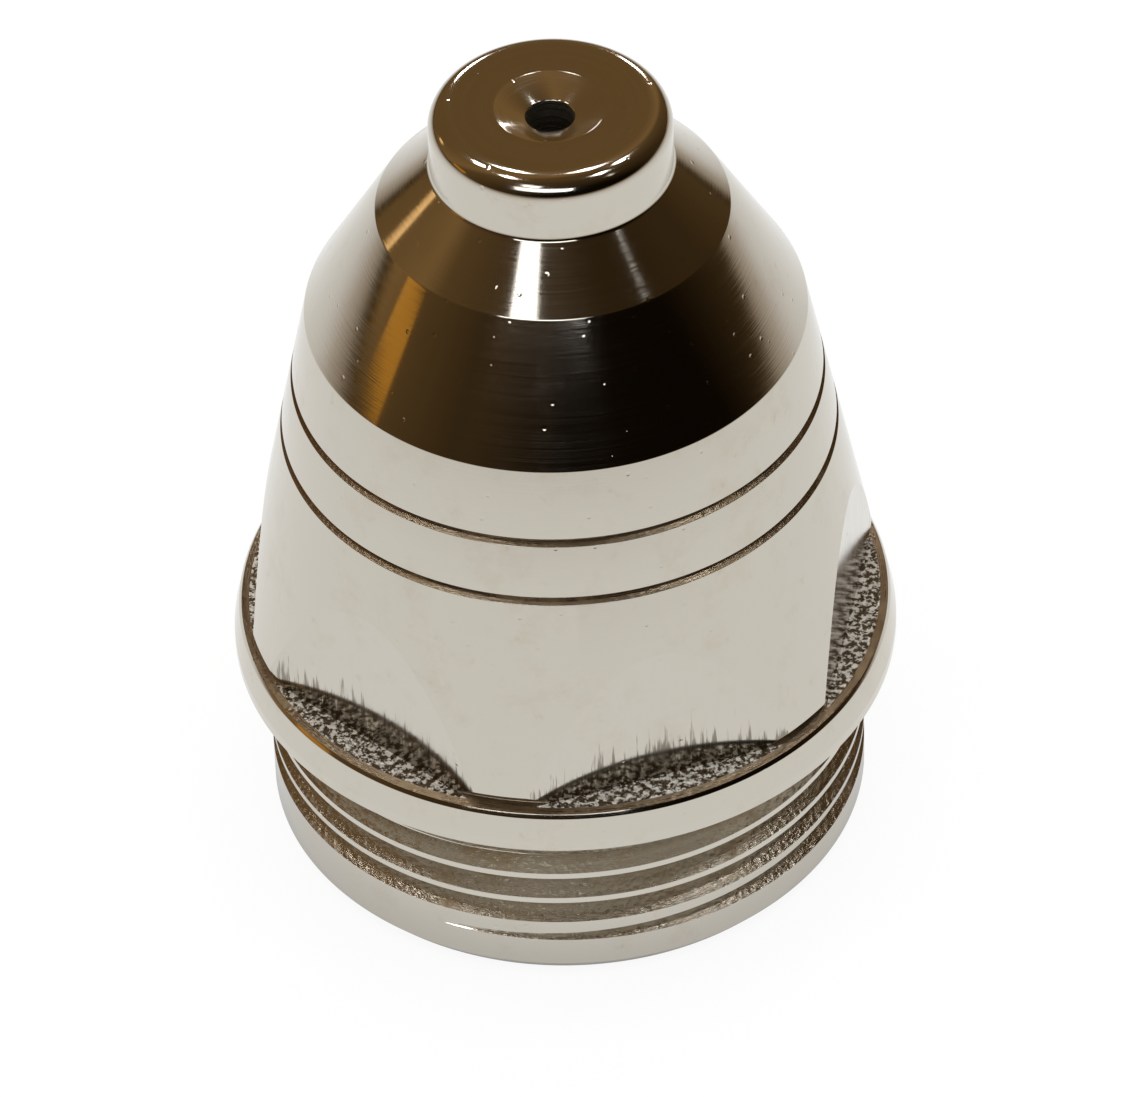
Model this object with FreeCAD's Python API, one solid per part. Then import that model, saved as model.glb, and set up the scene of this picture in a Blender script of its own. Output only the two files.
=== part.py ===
import FreeCAD, Part

import math
import os

# A plasma torch nozzle, turned in one piece from copper and nickel plated.
# Millimetres. Z is the axis of the nozzle and points out of its orifice. The origin is the centre of
# the threaded end, which the nozzle stands on. Azimuths run from the front, -Y, towards +X.

# Threaded stem, at the bottom
STEM_H = 6.1               # end face to the underside of the rim
THREAD_D = 17.9            # across the crests, M18 x 1
THREAD_PITCH = 1.0
THREAD_DEPTH = 0.6
THREAD_FLANK = 30.0        # each flank from square to the axis, degrees
CREST_W = 0.2              # flat left on each crest
THREAD_FADE_Z = 1.8        # height where the groove starts to leave the stem
THREAD_FADE_AZ = 60.0      # azimuth of that place, degrees
THREAD_FADE_ARC = 107.0    # length of the run-out, degrees
END_CHAMFER_H = 0.5
END_CHAMFER_W = 0.4
RELIEF_D = 16.7            # the neck between the thread and the rim
RELIEF_W = 0.75

# Rim
RIM_D = 19.8
RIM_WALL_H = 0.55          # upright part of its edge
RIM_H = 1.1
RIM_CROWN = 0.2            # how far the edge leans in above the upright part
RIM_TOP_ROUND = 0.12

# Neck between the rim and the body
NECK_LIP_D = 19.1          # outer edge of the rim's top
NECK_D = 18.4
NECK_RISE = 0.1

# Body and cones
BODY_D = 19.0              # at its foot
BODY_FOOT_Z = 7.75
BODY_TOP_Z = 18.6
BODY_ANGLE = 11.5          # half angles of the three cones, degrees
CONE_ANGLE = 30.0
CONE_TOP_Z = 22.4
TIP_CONE_ANGLE = 45.0
EDGE_ROUND = 0.15

# Two scribed grooves on the body
GROOVE_Z = (14.4, 16.3)
GROOVE_W = 0.27
GROOVE_DEPTH = 0.16

# Nose
NOSE_D = 7.0
NOSE_BASE_ROUND = 0.25
NOSE_TOP_ROUND = 0.7
HEIGHT = 26.0

# Spanner flats
FLATS = 6
ACROSS_FLATS = 17.0
FLAT_AZ = 17.5             # azimuth of the first flat, degrees
FLAT_FLOOR_Z = 7.27

# Inside, from the threaded end to the orifice
MOUTH_D = 14.0
MOUTH_DEPTH = 6.5
MOUTH_CHAMFER = 0.4
CHAMBER_D = 11.5
CHAMBER_TOP_Z = 14.5
THROAT_ANGLE = 30.0        # half angle of the cone down to the orifice, degrees
ORIFICE_D = 1.4
COUNTERSINK_D = 3.2
COUNTERSINK_DEPTH = 0.35

CLEAR = 0.3                # how far a cutting tool reaches past what it cuts


def tan(degrees):
    return math.tan(math.radians(degrees))


def point(radius, height):
    return FreeCAD.Vector(radius, 0, height)


def outline(corners):
    """A closed wire in the XZ plane through corners (radius, height, rounding)."""
    ends = []
    for i, (radius, height, rounding) in enumerate(corners):
        here = point(radius, height)
        back = point(*corners[i - 1][:2]) - here
        on = point(*corners[(i + 1) % len(corners)][:2]) - here
        back.normalize()
        on.normalize()
        if rounding == 0:
            ends.append((here, here, here))
            continue
        half = back.getAngle(on) / 2
        reach = rounding / math.tan(half)
        middle = back + on
        middle.normalize()
        centre = here + middle * (rounding / math.sin(half))
        ends.append((here + back * reach, centre - middle * rounding, here + on * reach))
    edges = []
    for i, (start, middle, end) in enumerate(ends):
        if start != end:
            edges.append(Part.Arc(start, middle, end).toShape())
        following = ends[(i + 1) % len(ends)][0]
        edges.append(Part.LineSegment(end, following).toShape())
    return Part.Wire(edges)


def turned(corners):
    """The solid swept by an outline turned about the axis."""
    face = Part.Face(outline(corners))
    return face.revolve(FreeCAD.Vector(0, 0, 0), FreeCAD.Vector(0, 0, 1), 360)


def body_radius(height):
    return BODY_D / 2 - (height - BODY_FOOT_Z) * tan(BODY_ANGLE)


def outside():
    """The turned outside as one solid, from the threaded end up to the face of the nose."""
    stem = THREAD_D / 2
    relief = RELIEF_D / 2
    relief_foot = STEM_H - RELIEF_W - (stem - relief) * tan(THREAD_FLANK)
    rim_top = STEM_H + RIM_H
    neck = NECK_D / 2
    cone_foot = body_radius(BODY_TOP_Z)
    cone_top = cone_foot - (CONE_TOP_Z - BODY_TOP_Z) * tan(CONE_ANGLE)
    nose = NOSE_D / 2
    nose_foot = CONE_TOP_Z + (cone_top - nose) / tan(TIP_CONE_ANGLE)
    corners = [
        (0, 0, 0),
        (stem - END_CHAMFER_W, 0, 0),
        (stem, END_CHAMFER_H, 0),
        (stem, relief_foot, 0),
        (relief, STEM_H - RELIEF_W, 0),
        (relief, STEM_H, 0),
        (RIM_D / 2, STEM_H, 0),
        (RIM_D / 2, STEM_H + RIM_WALL_H, 0),
        (RIM_D / 2 - RIM_CROWN, rim_top - RIM_TOP_ROUND, 0),
        (NECK_LIP_D / 2, rim_top, 0),
        (neck, rim_top + NECK_RISE, 0),
        (BODY_D / 2, BODY_FOOT_Z, 0),
    ]
    for height in GROOVE_Z:
        for rise, depth in ((-GROOVE_W / 2, 0), (0, GROOVE_DEPTH), (GROOVE_W / 2, 0)):
            corners.append((body_radius(height + rise) - depth, height + rise, 0))
    corners += [
        (cone_foot, BODY_TOP_Z, EDGE_ROUND),
        (cone_top, CONE_TOP_Z, EDGE_ROUND),
        (nose, nose_foot, NOSE_BASE_ROUND),
        (nose, HEIGHT, NOSE_TOP_ROUND),
        (0, HEIGHT, 0),
    ]
    return turned(corners)


def inside():
    """The hollow: mouth, chamber, throat cone, orifice and countersink."""
    mouth = MOUTH_D / 2
    chamber = CHAMBER_D / 2
    orifice = ORIFICE_D / 2
    rim = COUNTERSINK_D / 2
    spread = (rim - orifice) / COUNTERSINK_DEPTH * CLEAR
    return turned([
        (0, -CLEAR, 0),
        (mouth + MOUTH_CHAMFER + CLEAR, -CLEAR, 0),
        (mouth, MOUTH_CHAMFER, 0),
        (mouth, MOUTH_DEPTH, 0),
        (chamber, MOUTH_DEPTH, 0),
        (chamber, CHAMBER_TOP_Z, 0),
        (orifice, CHAMBER_TOP_Z + (chamber - orifice) / tan(THROAT_ANGLE), 0),
        (orifice, HEIGHT - COUNTERSINK_DEPTH, 0),
        (rim + spread, HEIGHT + CLEAR, 0),
        (0, HEIGHT + CLEAR, 0),
    ])


def flat_cutters():
    """Blocks that mill the spanner flats, each standing on the floor of its flat."""
    cutters = []
    for i in range(FLATS):
        block = Part.makeBox(BODY_D, BODY_D, BODY_TOP_Z - FLAT_FLOOR_Z)
        block.translate(FreeCAD.Vector(ACROSS_FLATS / 2, -BODY_D / 2, FLAT_FLOOR_Z))
        turn = FLAT_AZ - 90 + i * 360 / FLATS
        block.rotate(FreeCAD.Vector(0, 0, 0), FreeCAD.Vector(0, 0, 1), turn)
        cutters.append(block)
    return cutters


def thread_cutters():
    """The thread's groove: a helical sweep up to the relief, and the run-out at its lower end."""
    crest = THREAD_D / 2
    root = crest - THREAD_DEPTH
    open_half = (THREAD_PITCH - CREST_W) / 2
    root_half = open_half - THREAD_DEPTH * tan(THREAD_FLANK)
    mouth_half = open_half + CLEAR * tan(THREAD_FLANK)
    corners = [
        point(root, -root_half),
        point(crest + CLEAR, -mouth_half),
        point(crest + CLEAR, mouth_half),
        point(root, root_half),
    ]
    section = Part.makePolygon(corners + corners[:1])
    climb = STEM_H - RELIEF_W / 2 - THREAD_FADE_Z
    helix = Part.makeHelix(THREAD_PITCH, climb, root)
    groove = Part.Wire(helix).makePipeShell([section], True, True)
    drop = THREAD_PITCH * THREAD_FADE_ARC / 360
    taper = math.degrees(math.atan2(THREAD_DEPTH + CLEAR / 2, drop))
    fading = Part.makeHelix(THREAD_PITCH, drop, root, taper)
    run_out = Part.Wire(fading).makePipeShell([section], True, True)
    run_out.rotate(FreeCAD.Vector(0, 0, 0), FreeCAD.Vector(1, 0, 0), 180)
    for cutter in (groove, run_out):
        cutter.rotate(FreeCAD.Vector(0, 0, 0), FreeCAD.Vector(0, 0, 1), THREAD_FADE_AZ - 90)
        cutter.translate(FreeCAD.Vector(0, 0, THREAD_FADE_Z))
    return [groove, run_out]


nozzle = outside().cut(inside())
for tool in flat_cutters() + thread_cutters():
    nozzle = nozzle.cut(tool)

os.makedirs("parts", exist_ok=True)
nozzle.exportStep("parts/nozzle.step")
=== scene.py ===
import math

import bmesh
import bpy
import numpy as np
from mathutils import Matrix, Vector


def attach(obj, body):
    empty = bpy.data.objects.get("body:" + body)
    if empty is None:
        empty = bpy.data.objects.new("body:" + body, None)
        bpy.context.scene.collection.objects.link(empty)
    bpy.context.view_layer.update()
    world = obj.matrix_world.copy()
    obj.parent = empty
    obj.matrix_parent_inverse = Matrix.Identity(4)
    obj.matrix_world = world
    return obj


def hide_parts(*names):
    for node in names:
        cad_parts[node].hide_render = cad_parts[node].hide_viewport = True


# A plasma torch nozzle, nickel plated, standing on its threaded end. Sizes are in millimetres and
# are turned into metres where a mesh, a lamp or the camera is made. Z is the nozzle's axis, and
# azimuths run from the front, -Y, towards +X.

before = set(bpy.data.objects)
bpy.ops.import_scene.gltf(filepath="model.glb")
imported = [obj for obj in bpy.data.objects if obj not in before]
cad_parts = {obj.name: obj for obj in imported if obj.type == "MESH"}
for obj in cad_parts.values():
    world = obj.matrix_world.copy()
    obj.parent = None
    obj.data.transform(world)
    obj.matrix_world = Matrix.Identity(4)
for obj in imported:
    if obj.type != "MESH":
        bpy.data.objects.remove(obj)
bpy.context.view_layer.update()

MM = 0.001
TURNS = 384                # segments round the axis
EDGE = 0.03                # rounding that handling has left on a sharp corner
CLEAR = 0.3                # how far a cutting tool reaches past what it cuts

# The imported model's sizes. Those of the rim's edge and lip, the body's foot, the flats and the scribed
# grooves are fitted anew, each within 0.2 mm of the model's.

# Threaded stem
STEM_H, STEM_R = 6.1, 8.95
END_CHAMFER_H, END_CHAMFER_W = 0.5, 0.4
PITCH, DEPTH, CREST_W, FLANK = 1.0, 0.6, 0.2, 30.0
FADE_Z, FADE_AZ, FADE_ARC = 1.8, 60.0, 107.0
RELIEF_R, RELIEF_W = 8.35, 0.75

# Rim and neck
RIM_R, RIM_H, RIM_WALL_H, RIM_CROWN, RIM_ROUND = 9.9, 1.25, 0.35, 0.17, 0.12
LIP_R, NECK_R, NECK_RISE = 9.65, 9.2, 0.1

# Body, cones, scribed grooves and nose
BODY_R, BODY_Z, BODY_TOP, BODY_ANGLE = 9.5, 7.8, 18.6, 11.5
CONE_TOP, CONE_ANGLE, TIP_ANGLE = 22.4, 30.0, 45.0
CONE_ROUND = 0.15
GROOVES, GROOVE_W, GROOVE_DEPTH = (14.4, 16.3), 0.27, 0.2
NOSE_R, HEIGHT = 3.5, 26.0
NOSE_BASE_ROUND, NOSE_TOP_ROUND = 0.25, 0.7

# Spanner flats
FLATS, FLAT_R, FLAT_AZ, FLOOR_Z = 6, 8.6, 17.5, 7.4
CUTTER_D, CUTTER_W = 9, 14

# Inside
MOUTH_R, MOUTH_DEPTH, MOUTH_CHAMFER = 7.0, 6.5, 0.4
CHAMBER_R, CHAMBER_TOP, THROAT_ANGLE = 5.75, 14.5, 30.0
ORIFICE_R, SINK_R, SINK_DEPTH = 0.7, 1.6, 0.35


def tan(degrees):
    return math.tan(math.radians(degrees))


def body_radius(z):
    return BODY_R - (z - BODY_Z) * tan(BODY_ANGLE)


# ---------------------------------------------------------------- shape

def rounded(corners):
    """Points (r, z) along a closed outline of corners (r, z, rounding)."""
    nearly_straight = math.radians(89)
    step = math.radians(9)
    points = []
    for i, (r, z, rounding) in enumerate(corners):
        here = Vector((r, z))
        back = (Vector(corners[i - 1][:2]) - here).normalized()
        on = (Vector(corners[(i + 1) % len(corners)][:2]) - here).normalized()
        half = back.angle(on) / 2
        if half > nearly_straight:
            points.append(here)
            continue
        reach = rounding / math.tan(half)
        centre = here + (back + on).normalized() * (rounding / math.sin(half))
        start = here + back * reach - centre
        end = here + on * reach - centre
        turn = start.angle_signed(end)
        steps = max(2, math.ceil(abs(turn) / step))
        for k in range(steps + 1):
            points.append(centre + Matrix.Rotation(-turn * k / steps, 2) @ start)
    return points


def profile():
    """The nozzle's section, outside from the threaded end up, then inside from the nose down."""
    relief_z = STEM_H - RELIEF_W
    rim_top = STEM_H + RIM_H
    cone_foot = body_radius(BODY_TOP)
    cone_top = cone_foot - (CONE_TOP - BODY_TOP) * tan(CONE_ANGLE)
    nose_foot = CONE_TOP + (cone_top - NOSE_R) / tan(TIP_ANGLE)
    corners = [
        (STEM_R - END_CHAMFER_W, 0, EDGE),
        (STEM_R, END_CHAMFER_H, EDGE),
        (STEM_R, relief_z - (STEM_R - RELIEF_R) * tan(FLANK), EDGE),
        (RELIEF_R, relief_z, 0.08),
        (RELIEF_R, STEM_H, 0.05),
        (RIM_R, STEM_H, EDGE),
        (RIM_R, STEM_H + RIM_WALL_H, 0.25),
        (RIM_R - RIM_CROWN, rim_top - RIM_ROUND, 0.06),
        (LIP_R, rim_top, EDGE),
        (NECK_R, rim_top + NECK_RISE, 0.04),
        (BODY_R, BODY_Z, EDGE),
    ]
    for z in GROOVES:
        for rise, depth in ((-GROOVE_W / 2, 0), (0, GROOVE_DEPTH), (GROOVE_W / 2, 0)):
            corners.append((body_radius(z + rise) - depth, z + rise, 0.02))
    corners += [
        (cone_foot, BODY_TOP, CONE_ROUND),
        (cone_top, CONE_TOP, CONE_ROUND),
        (NOSE_R, nose_foot, NOSE_BASE_ROUND),
        (NOSE_R, HEIGHT, NOSE_TOP_ROUND),
        (SINK_R, HEIGHT, 0.06),
        (ORIFICE_R, HEIGHT - SINK_DEPTH, 0.05),
        (ORIFICE_R, CHAMBER_TOP + (CHAMBER_R - ORIFICE_R) / tan(THROAT_ANGLE), 0.1),
        (CHAMBER_R, CHAMBER_TOP, 0.2),
        (CHAMBER_R, MOUTH_DEPTH, EDGE),
        (MOUTH_R, MOUTH_DEPTH, 0.1),
        (MOUTH_R, MOUTH_CHAMFER, EDGE),
        (MOUTH_R + MOUTH_CHAMFER, 0, EDGE),
    ]
    return rounded(corners)


def mesh_object(name, verts, faces):
    mesh = bpy.data.meshes.new(name)
    mesh.from_pydata([tuple(c * MM for c in v) for v in verts], [], faces)
    mesh.update()
    obj = bpy.data.objects.new(name, mesh)
    bpy.context.scene.collection.objects.link(obj)
    return obj


def turned(name, points):
    """The closed mesh swept by an outline turned about the axis."""
    n = len(points)
    verts = []
    for j in range(TURNS):
        a = 2 * math.pi * j / TURNS
        verts += [(p.x * math.cos(a), p.x * math.sin(a), p.y) for p in points]
    faces = []
    for j in range(TURNS):
        k = (j + 1) % TURNS
        for i in range(n):
            m = (i + 1) % n
            faces.append((j * n + i, k * n + i, k * n + m, j * n + m))
    return mesh_object(name, verts, faces)


def flat_blocks():
    """Blocks that mill the spanner flats, each standing on the floor of its flat."""
    sides = ((0, 1, 3, 2), (4, 6, 7, 5), (0, 4, 5, 1), (2, 3, 7, 6), (0, 2, 6, 4), (1, 5, 7, 3))
    verts, faces = [], []
    for i in range(FLATS):
        turn = Matrix.Rotation(math.radians(FLAT_AZ - 90 + 360 * i / FLATS), 3, "Z")
        base = len(verts)
        for x, y, z in np.ndindex(2, 2, 2):
            height = FLOOR_Z + z * (BODY_TOP - FLOOR_Z)
            verts.append(turn @ Vector((FLAT_R + x * CUTTER_D, (y - 0.5) * CUTTER_W, height)))
        for side in sides:
            faces.append([base + corner for corner in side])
    return verts, faces


def thread_sweep():
    """The thread's groove with its run-out at the lower end, as a closed tube."""
    open_half = (PITCH - CREST_W) / 2
    root_half = open_half - DEPTH * tan(FLANK)
    mouth_half = open_half + CLEAR * tan(FLANK)
    root, mouth = STEM_R - DEPTH, STEM_R + CLEAR
    section = [(root, -root_half), (mouth, -mouth_half), (mouth, mouth_half), (root, root_half)]
    top = 360 * (STEM_H - RELIEF_W / 2 - FADE_Z) / PITCH
    angles = np.arange(-FADE_ARC, top, 360 / TURNS)
    verts = []
    for angle in angles:
        lift = max(0, -angle / FADE_ARC) * (DEPTH + CLEAR / 2)
        a = math.radians(FADE_AZ - 90 + angle)
        z = FADE_Z + PITCH * angle / 360
        verts += [((r + lift) * math.cos(a), (r + lift) * math.sin(a), z + dz) for r, dz in section]
    faces = [(3, 2, 1, 0)]
    for k in range(len(angles) - 1):
        for i in range(4):
            m = (i + 1) % 4
            faces.append((4 * k + i, 4 * k + m, 4 * k + 4 + m, 4 * k + 4 + i))
    last = 4 * (len(angles) - 1)
    faces.append((last, last + 1, last + 2, last + 3))
    return verts, faces


def turn_outwards(bm):
    bmesh.ops.recalc_face_normals(bm, faces=bm.faces)


def cut(obj, verts, faces):
    """Cut the closed shape of verts and faces out of an object."""
    tool = mesh_object("cutter", verts, faces)
    bm = bmesh.new()
    bm.from_mesh(tool.data)
    turn_outwards(bm)
    bm.to_mesh(tool.data)
    bm.free()
    mod = obj.modifiers.new("cut", "BOOLEAN")
    mod.operation = "DIFFERENCE"
    mod.solver = "MANIFOLD"
    mod.object = tool
    evaluated = obj.evaluated_get(bpy.context.evaluated_depsgraph_get())
    shape = bpy.data.meshes.new_from_object(evaluated)
    obj.modifiers.clear()
    obj.data = shape
    bpy.data.objects.remove(tool)


# ---------------------------------------------------------------- kinds of surface

OUTSIDE, MILLED, FLOOR, THREAD, INSIDE, GROOVE = range(6)
TOUCH = 0.01               # how near a face lies to the surface that it is on
NEAR = 0.1                 # the same, where nothing else is close
BORE_IN_VIEW_Z = 24.5      # the bore above this height is finished as the outside is


def kind_of(face):
    """Which tool left this face, from where it lies and how it faces."""
    c = face.calc_center_median() / MM
    n = face.normal
    r = math.hypot(c.x, c.y)
    turn = math.radians(360 / FLATS)
    side = math.atan2(c.y, c.x) - math.radians(FLAT_AZ - 90)
    side -= round(side / turn) * turn
    out = r * math.cos(side)

    upright = abs(n.z) < 0.01
    level = n.z > 0.99
    if FLOOR_Z - TOUCH < c.z < BODY_TOP and abs(out - FLAT_R) < TOUCH and upright:
        return MILLED
    if abs(c.z - FLOOR_Z) < TOUCH / 2 and out > FLAT_R - TOUCH and level:
        return FLOOR
    if c.z < STEM_H + 2 * TOUCH and RELIEF_R - 5 * TOUCH < r < STEM_R - 2 * TOUCH:
        return THREAD
    in_groove = any(abs(c.z - z) < GROOVE_W / 2 for z in GROOVES)
    in_neck = STEM_H + RIM_H - TOUCH < c.z < BODY_Z and NECK_R - NEAR < r < LIP_R
    if (in_groove and CHAMBER_R < r < body_radius(c.z) - TOUCH) or in_neck:
        return GROOVE
    inward = n.x * c.x + n.y * c.y < 0 or n.z < -0.9
    within = r < MOUTH_R + MOUTH_CHAMFER + 2 * NEAR and r < body_radius(c.z) - 5 * NEAR
    if inward and within and c.z < BORE_IN_VIEW_Z:
        return INSIDE
    return OUTSIDE


def sort_faces(obj):
    """Give each face the material of its kind, and keep the edges between kinds sharp."""
    sharp = math.radians(25)
    obj.data.materials.clear()
    bm = bmesh.new()
    bm.from_mesh(obj.data)
    turn_outwards(bm)
    for face in bm.faces:
        face.material_index = kind_of(face)
        face.smooth = True
    for edge in bm.edges:
        kinds = {f.material_index for f in edge.link_faces}
        edge.smooth = len(kinds) == 1 and edge.calc_face_angle(0) < sharp
    bm.to_mesh(obj.data)
    bm.free()
    weigh = obj.modifiers.new("normals", "WEIGHTED_NORMAL")
    weigh.keep_sharp = True
    weigh.weight = 100


# ---------------------------------------------------------------- materials

NICKEL = (0.60, 0.565, 0.495, 1)
TARNISH = (0.42, 0.33, 0.21, 1)
BROWN = (0.26, 0.2, 0.13, 1)
PAINTED_GLINT = (0.93, 0.9, 0.82, 1)          # painted glint: near-white grains standing in for the glitter of light on the flats' gritty floors
# Painted dark: the dark grains of the painted glints on the flats' floors, and the painted reflection of
# those floors in the flats.
PAINTED_DARK = (0.09, 0.065, 0.035, 1)

# How far tool marks are drawn out, as factors on the three axes of their noise.
ALONG_TURNING, ACROSS_TURNING = 0.12, 12.0
ALONG_MILLING, ACROSS_MILLING = 0.6, 9.0

# Texture scales are per metre, and the lengths below them are in metres.
CLOUD_SCALE, SPECK_SCALE, GLINT_SCALE = 600.0, 2400.0, 5000.0
GRAIN_SCALE, FINE_GRAIN_SCALE, PIT_SCALE = 5500.0, 9000.0, 1500.0
RELIEF_STEP = 0.00001                # what one unit of height raises the surface by
# Painted reflection: the flats are painted dark where their floors' gritty crescents would be mirrored in
# them, in streaks over the arch.
REFLECTION_STREAK_LENGTH = 0.005                  # of the longest streak of the painted floor reflection in a flat
REFLECTION_FADE = 0.0006
REFLECTION_SHARE = 0.45                    # noise below this level leaves no streak
REFLECTION_DARK = 0.65


class Nodes:
    """Short names for the nodes of one material."""

    def __init__(self, material):
        material.use_nodes = True
        self.tree = material.node_tree
        self.tree.nodes.clear()

    def put(self, socket, value):
        if isinstance(value, bpy.types.NodeSocket):
            self.tree.links.new(value, socket)
        else:
            socket.default_value = value

    def add(self, kind, **values):
        """A node with its settings and inputs, where _ stands for a space in an input's name."""
        node = self.tree.nodes.new(kind)
        for key, value in values.items():
            if hasattr(node, key):
                setattr(node, key, value)
            else:
                self.put(node.inputs[key.replace("_", " ")], value)
        return node

    def fed(self, node, values):
        """The node, with values put into its first inputs in order."""
        for socket, value in zip(node.inputs, values):
            self.put(socket, value)
        return node

    def math(self, operation, *values):
        node = self.tree.nodes.new("ShaderNodeMath")
        node.operation = operation
        return self.fed(node, values).outputs[0]

    def measure(self, operation, *vectors):
        node = self.tree.nodes.new("ShaderNodeVectorMath")
        node.operation = operation
        return self.fed(node, vectors).outputs["Value"]

    def ramp(self, value, low, high, out_low=0.0, out_high=1.0):
        node = self.tree.nodes.new("ShaderNodeMapRange")
        node.interpolation_type = "SMOOTHSTEP"
        return self.fed(node, (value, low, high, out_low, out_high)).outputs[0]

    def noise(self, vector, scale, detail, rough):
        node = self.add("ShaderNodeTexNoise", Vector=vector, Scale=scale, Detail=detail, Roughness=rough)
        return node.outputs["Fac"]

    def cells(self, vector, scale):
        """Distance from the middle of the nearest of many cells."""
        node = self.add("ShaderNodeTexVoronoi", feature="F1", Vector=vector, Scale=scale)
        return node.outputs["Distance"]

    def vector(self, x, y, z):
        return self.fed(self.tree.nodes.new("ShaderNodeCombineXYZ"), (x, y, z)).outputs[0]

    def mix(self, factor, a, b):
        node = self.tree.nodes.new("ShaderNodeMix")
        node.data_type = "RGBA"
        for socket, value in ((node.inputs[0], factor), (node.inputs[6], a), (node.inputs[7], b)):
            self.put(socket, value)
        return node.outputs[2]

    def blend(self, factor, a, b):
        return self.fed(self.tree.nodes.new("ShaderNodeMixShader"), (factor, a, b)).outputs[0]

    def colours(self, value, stops):
        """A colour ramp through stops (place, colour)."""
        node = self.tree.nodes.new("ShaderNodeValToRGB")
        self.put(node.inputs[0], value)
        elements = node.color_ramp.elements
        while len(elements) < len(stops):
            elements.new(0.5)
        for element, (place, colour) in zip(elements, stops):
            element.position = place
            element.color = (*colour, 1)
        return node.outputs[0]


def tool_marks(t, x, y, z, r, scale, milled):
    """Noise drawn out along the tool's path: up a milled flat, or round a turned surface."""
    if milled:
        across_x = t.math("MULTIPLY", x, ACROSS_MILLING)
        across_y = t.math("MULTIPLY", y, ACROSS_MILLING)
        path = t.vector(across_x, across_y, t.math("MULTIPLY", z, ALONG_MILLING))
    else:
        along_x = t.math("MULTIPLY", x, ALONG_TURNING)
        along_y = t.math("MULTIPLY", y, ALONG_TURNING)
        across = t.math("MULTIPLY", t.math("SUBTRACT", z, r), ACROSS_TURNING)
        path = t.vector(along_x, along_y, across)
    return t.noise(path, scale, 3.0, 0.6)


def painted_floor_reflection(t, z, r, marks):
    """Painted reflection: how dark a flat is painted where its floor's crescent would be mirrored in it,
    with streaks standing over the arch.
    """
    reach = t.math("SUBTRACT", (LIP_R ** 2 + FLAT_R ** 2) * MM ** 2, t.math("MULTIPLY", r, r))
    arch = t.math("SUBTRACT", t.math("SQRT", reach), FLAT_R * MM)
    rise = t.math("SUBTRACT", t.math("SUBTRACT", z, FLOOR_Z * MM), arch)
    streak = t.math("MULTIPLY_ADD", marks, REFLECTION_STREAK_LENGTH, -REFLECTION_SHARE * REFLECTION_STREAK_LENGTH)
    return t.ramp(t.math("SUBTRACT", streak, rise), 0.0, REFLECTION_FADE, 0.0, REFLECTION_DARK)


def plated(name, roughness, lines, line_scale, grit=0.0, stain=0.25, tarnish_and_shade=0.0, milled=False, painted_glitter=False):
    """Nickel plate over a machined surface: its stains, its tool marks, its grit and its pits, with
    painted glints, a painted reflection and painted shade where asked for.
    """
    material = bpy.data.materials.new(name)
    t = Nodes(material)
    place = t.add("ShaderNodeTexCoord").outputs["Object"]
    x, y, z = t.add("ShaderNodeSeparateXYZ", Vector=place).outputs
    r = t.math("SQRT", t.math("ADD", t.math("MULTIPLY", x, x), t.math("MULTIPLY", y, y)))
    marks = tool_marks(t, x, y, z, r, line_scale, milled)

    cloud = t.noise(place, CLOUD_SCALE, 5.0, 0.65)
    speck = t.noise(place, SPECK_SCALE, 2.0, 0.5)
    worn = t.math("MULTIPLY", t.ramp(cloud, 0.48, 0.75), stain)
    spots = t.math("MULTIPLY", t.ramp(speck, 0.66, 0.78), t.ramp(cloud, 0.4, 0.7))
    # BROWN mixed into the metal: tarnish on the thread, and in the scribed grooves and the neck painted
    # shade as well as tarnish.
    metal = [(1 - tarnish_and_shade) * bright + tarnish_and_shade * brown for bright, brown in zip(NICKEL, BROWN)]
    colour = t.mix(worn, metal, TARNISH)
    colour = t.mix(t.math("MULTIPLY", spots, stain), colour, TARNISH)
    # Painted glints: the flats' floors get near-white and near-black grains, and are only partly
    # metallic, standing in for the glitter and dark reflections of their grit.
    if painted_glitter:
        glints = t.noise(place, GLINT_SCALE, 2.0, 0.7)
        colour = t.mix(t.ramp(glints, 0.46, 0.58), PAINTED_DARK, PAINTED_GLINT)
    # Milled flats get the painted reflection of their floors.
    if milled:
        colour = t.mix(painted_floor_reflection(t, z, r, marks), colour, PAINTED_DARK)

    height = t.math("MULTIPLY", marks, lines)
    if grit:
        grains = t.cells(place, GRAIN_SCALE)
        fine = t.noise(place, FINE_GRAIN_SCALE, 3.0, 0.7)
        height = t.math("ADD", height, t.math("MULTIPLY", t.math("ADD", grains, fine), grit))
    pits = t.ramp(t.cells(place, PIT_SCALE), 0.12, 0.04)
    height = t.math("SUBTRACT", height, t.math("MULTIPLY", pits, 0.5))
    bump = t.add("ShaderNodeBump", Strength=1.0, Distance=RELIEF_STEP, Height=height)

    polish = t.ramp(marks, 0.3, 0.7, roughness * 0.7, roughness * 1.3)
    shader = t.add(
        "ShaderNodeBsdfPrincipled",
        Metallic=0.4 if painted_glitter else 1.0,
        Base_Color=colour,
        Roughness=t.math("ADD", polish, t.math("MULTIPLY", worn, 0.25)),
        Normal=bump.outputs[0],
    )
    t.add("ShaderNodeOutputMaterial", Surface=shader.outputs[0])
    return material


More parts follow.
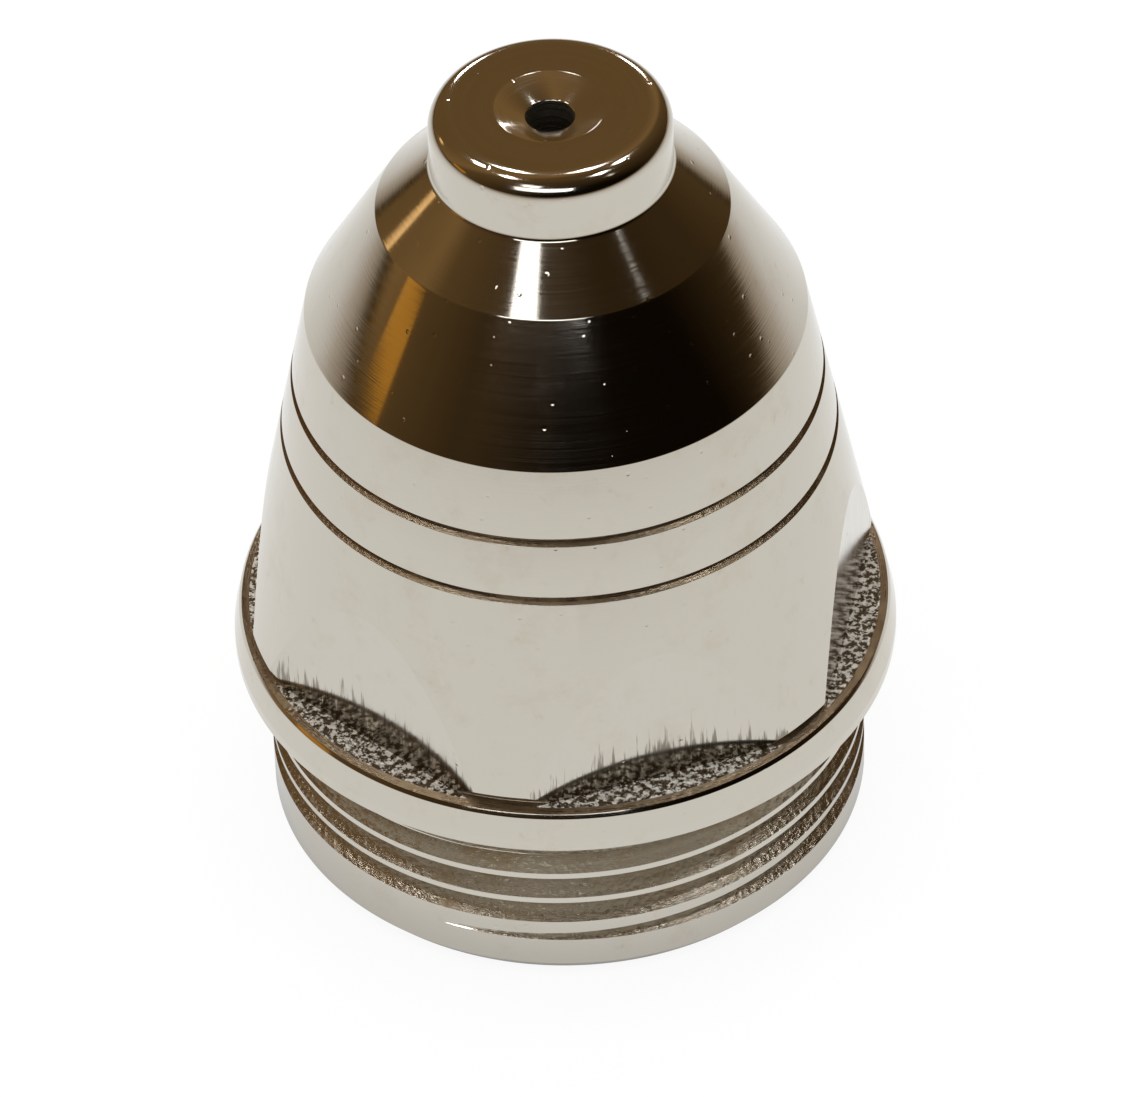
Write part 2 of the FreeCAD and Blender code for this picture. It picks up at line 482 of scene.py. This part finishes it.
def surfaces():
    """One material for each kind of surface, in the order of the kinds."""
    by_kind = {
        OUTSIDE: plated("nickel_turned", 0.09, 0.12, 1500.0, stain=0.16),
        # The flats carry a painted reflection of their floors.
        MILLED: plated("nickel_milled", 0.12, 0.2, 700.0, stain=0.12, milled=True),
        # The flats' floors carry painted glints.
        FLOOR: plated("nickel_floor_painted_glints", 0.12, 0.5, 900.0, grit=12.0, painted_glitter=True),
        THREAD: plated("nickel_thread", 0.22, 0.5, 1500.0, grit=1.6, stain=0.9, tarnish_and_shade=0.4),
        INSIDE: plated("nickel_bored", 0.32, 0.8, 1200.0, stain=0.5),
        # The scribed grooves and the neck are painted nearly brown: painted shade as well as tarnish.
        GROOVE: plated("nickel_scribed_painted_shade", 0.3, 0.5, 1500.0, grit=0.8, stain=0.9, tarnish_and_shade=0.9),
    }
    return [by_kind[kind] for kind in sorted(by_kind)]


nozzle = turned("nozzle_plated", profile())
cut(nozzle, *flat_blocks())
cut(nozzle, *thread_sweep())
sort_faces(nozzle)
for material in surfaces():
    nozzle.data.materials.append(material)

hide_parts("nozzle")
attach(nozzle, "root")

# ---------------------------------------------------------------- stage

WHITE = (1, 1, 1, 1)
FLOOR_HALF = 4000
FLOOR_FADE = 0.6           # metres from the axis to where the floor's reflection is darkest
FLOOR_IN_METAL = (         # what polished metal sees of the floor, from under the nozzle outwards
    # Black under the nozzle is painted shade, for the floor that the bore sees within the mouth.
    (0.0, (0, 0, 0)),
    (0.0145, (0, 0, 0)),
    (0.016, (1, 1, 1)),
    (0.07, (0.97, 0.97, 0.96)),
    (0.15, (0.82, 0.8, 0.78)),
    (0.27, (0.52, 0.45, 0.38)),
    (0.7, (0.12, 0.075, 0.03)),
    (1.0, (0.05, 0.03, 0.01)),
)
ROOM = (0.163, 0.094, 0.034)
ROOM_LIGHT = (-0.45, 0.75, 0.48)     # the way to the brighter side of the room
ROOM_LEVELS = ((0.2, 0.03), (0.4, 0.3), (0.45, 0.3), (0.73, 0.75), (0.8, 1.5), (0.94, 1.0))
LAMP_DISTANCE = 500
LAMP_AIM_Z = 20
BACK_BOXES = ((-160, 64), (-112, 58), (-70, 66), (70, 62), (115, 60), (160, 66), (-168, 21), (166, 19))


def white_floor():
    """Matt white paper: nearly pure white to the camera but for shadows, and fading in reflections."""
    half = FLOOR_HALF
    floor = mesh_object("floor", [(-half, -half, 0), (half, -half, 0), (half, half, 0), (-half, half, 0)],
                        [(0, 1, 2, 3)])
    material = bpy.data.materials.new("white_floor")
    t = Nodes(material)
    away = t.measure("LENGTH", t.add("ShaderNodeTexCoord").outputs["Object"])
    path = t.add("ShaderNodeLightPath")
    faded = t.colours(t.math("DIVIDE", away, FLOOR_FADE), FLOOR_IN_METAL)
    paper = t.add("ShaderNodeBsdfDiffuse", Color=(0.88, 0.88, 0.88, 1)).outputs[0]
    white = t.add("ShaderNodeEmission", Color=WHITE, Strength=1.0).outputs[0]
    mirrored = t.add("ShaderNodeEmission", Color=faded, Strength=0.95).outputs[0]
    lit = t.blend(0.92, paper, white)
    shown = t.blend(path.outputs["Is Camera Ray"], paper, lit)
    shown = t.blend(path.outputs["Is Glossy Ray"], shown, mirrored)
    t.add("ShaderNodeOutputMaterial", Surface=shown)
    floor.data.materials.append(material)


def studio():
    """A dim brown room, which the camera itself sees as white."""
    world = bpy.data.worlds.new("studio")
    t = Nodes(world)
    lean = t.measure("DOT_PRODUCT", t.add("ShaderNodeTexCoord").outputs["Generated"], ROOM_LIGHT)
    stops = [(place, [level * c for c in ROOM]) for place, level in ROOM_LEVELS]
    walls = t.colours(t.math("MULTIPLY_ADD", lean, 0.5, 0.5), stops)
    dim = t.add("ShaderNodeBackground", Color=walls, Strength=1.0).outputs[0]
    clear = t.add("ShaderNodeBackground", Color=WHITE, Strength=1.0).outputs[0]
    shown = t.blend(t.add("ShaderNodeLightPath").outputs["Is Camera Ray"], dim, clear)
    t.add("ShaderNodeOutputWorld", Surface=shown)
    return world


def lamp(name, azimuth, elevation, width, height, radiance, colour=(1, 1, 1)):
    """A soft box facing the nozzle."""
    data = bpy.data.lights.new(name, "AREA")
    data.shape = "RECTANGLE"
    data.size = width * MM
    data.size_y = height * MM
    data.energy = radiance * math.pi * width * height * MM * MM
    data.color = colour
    a, e = math.radians(azimuth), math.radians(elevation)
    out = Vector((math.sin(a) * math.cos(e), -math.cos(a) * math.cos(e), math.sin(e)))
    obj = bpy.data.objects.new(name, data)
    scene.collection.objects.link(obj)
    obj.location = Vector((0, 0, LAMP_AIM_Z)) * MM + out * LAMP_DISTANCE * MM
    obj.rotation_euler = out.to_track_quat("Z", "Y").to_euler()
    return obj


scene = bpy.context.scene
scene.view_settings.view_transform = "Standard"
white_floor()
scene.world = studio()

overhead = lamp("overhead", 0, 88, 600, 600, 2.6)
overhead.visible_glossy = False
for azimuth, elevation in BACK_BOXES:
    lamp("back_box", azimuth, elevation, 60, 60, 13.0)
lamp("front_box", -8, 33, 420, 110, 3.0)
lamp("front_left_box", -22, 47, 110, 90, 3.0)
lamp("right_strip", 61, 42, 30, 60, 1.5)
lamp("left_strip", -118, 14, 50, 60, 1.1, (1, 0.62, 0.27))
lamp("amber_strip", -86, 6, 120, 60, 0.42, (1, 0.42, 0.02))

# ---------------------------------------------------------------- camera

EYE = Vector((0, -183.73, 177.71)) * MM
AIM = Vector((0.24, -1.45, 10.29)) * MM
ROLL = math.radians(-1.71)

data = bpy.data.cameras.new("camera")
data.sensor_width = 36
data.lens = 264.25
data.clip_end = 20
camera = bpy.data.objects.new("camera", data)
scene.collection.objects.link(camera)
scene.camera = camera
facing = (EYE - AIM).to_track_quat("Z", "Y").to_matrix().to_4x4()
camera.matrix_world = Matrix.Translation(EYE) @ facing @ Matrix.Rotation(ROLL, 4, "Z")
